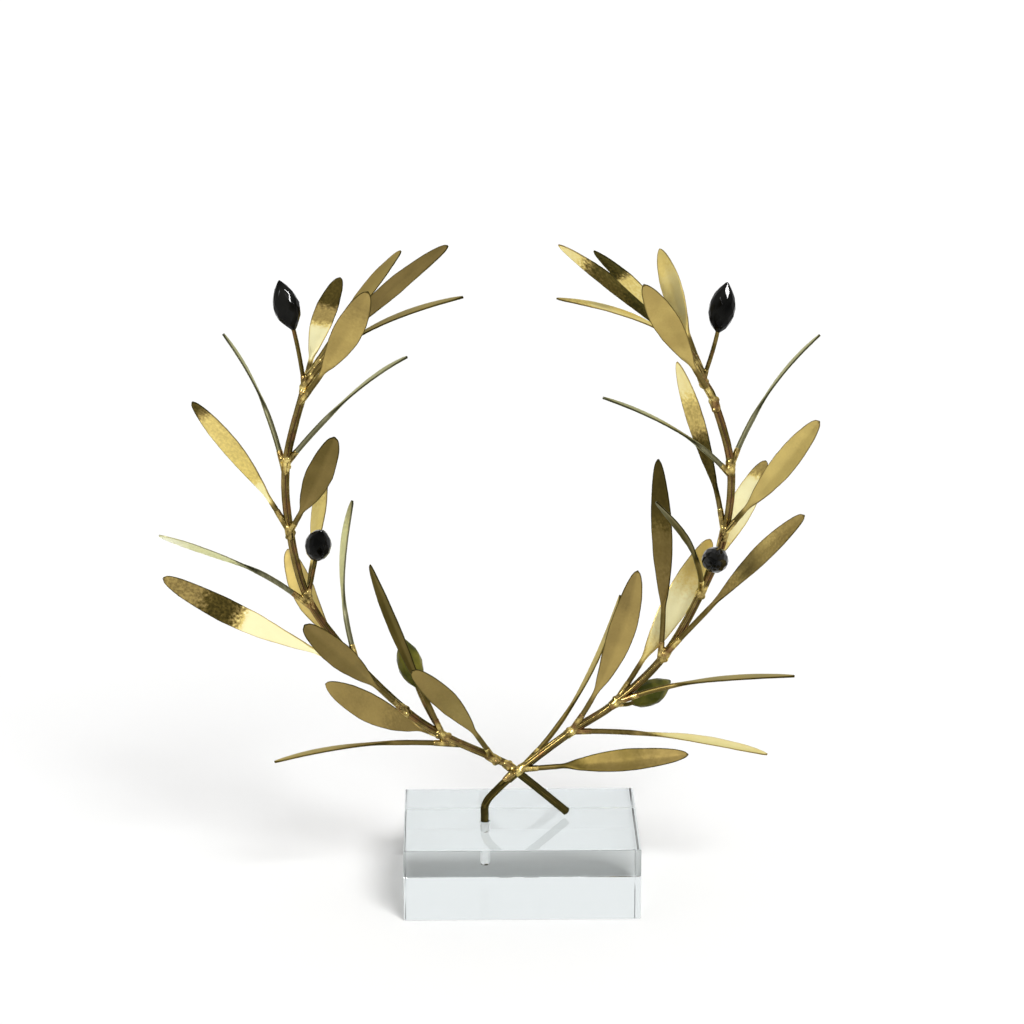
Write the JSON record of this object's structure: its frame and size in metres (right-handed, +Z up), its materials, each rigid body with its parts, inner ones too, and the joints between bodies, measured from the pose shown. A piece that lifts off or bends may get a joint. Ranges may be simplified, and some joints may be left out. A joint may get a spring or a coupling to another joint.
{
  "type": "olive leaf crown on clear block stand",
  "caption": "Open crown of two crossed gilt olive branches with slender leaves and olives, standing on a clear block that holds one stem in a drilled hole.",
  "frame": {"origin": "centre of the clear block's underside, on the floor it rests on", "axes": "+Z up, +X to the right seen from the front, +Y to the back; the crown opens towards the front and the back"},
  "size_m": [0.2227, 0.0687, 0.2264],
  "materials": {
    "leaf_gilt": "satin gilt sheet, softly hammered",
    "branch_gilt": "dark gilt wire with bright beads of braze",
    "black_olive": "glossy black",
    "green_olive": "glossy dark olive green",
    "clear_block": "polished clear acrylic"
  },
  "bodies": {
    "root": {"block": "clear_block", "left_branch": "branch_gilt", "right_branch": "branch_gilt", "left_leaf_1": "leaf_gilt", "left_leaf_2": "leaf_gilt", "left_leaf_3": "leaf_gilt", "left_leaf_4": "leaf_gilt", "left_leaf_5": "leaf_gilt", "left_leaf_6": "leaf_gilt", "left_leaf_7": "leaf_gilt", "left_leaf_8": "leaf_gilt", "left_leaf_9": "leaf_gilt", "left_leaf_10": "leaf_gilt", "left_leaf_11": "leaf_gilt", "left_leaf_12": "leaf_gilt", "left_leaf_13": "leaf_gilt", "left_leaf_14": "leaf_gilt", "left_leaf_15": "leaf_gilt", "left_leaf_16": "leaf_gilt", "left_leaf_17": "leaf_gilt", "left_leaf_18": "leaf_gilt", "left_leaf_19": "leaf_gilt", "right_leaf_1": "leaf_gilt", "right_leaf_2": "leaf_gilt", "right_leaf_3": "leaf_gilt", "right_leaf_4": "leaf_gilt", "right_leaf_5": "leaf_gilt", "right_leaf_6": "leaf_gilt", "right_leaf_7": "leaf_gilt", "right_leaf_8": "leaf_gilt", "right_leaf_9": "leaf_gilt", "right_leaf_10": "leaf_gilt", "right_leaf_11": "leaf_gilt", "right_leaf_12": "leaf_gilt", "right_leaf_13": "leaf_gilt", "right_leaf_14": "leaf_gilt", "right_leaf_15": "leaf_gilt", "right_leaf_16": "leaf_gilt", "right_leaf_17": "leaf_gilt", "right_leaf_18": "leaf_gilt", "right_leaf_19": "leaf_gilt", "left_olive_1": "green_olive", "left_olive_2": "black_olive", "left_olive_3": "black_olive", "right_olive_1": "green_olive", "right_olive_2": "black_olive", "right_olive_3": "black_olive"}
  },
  "joints": []
}
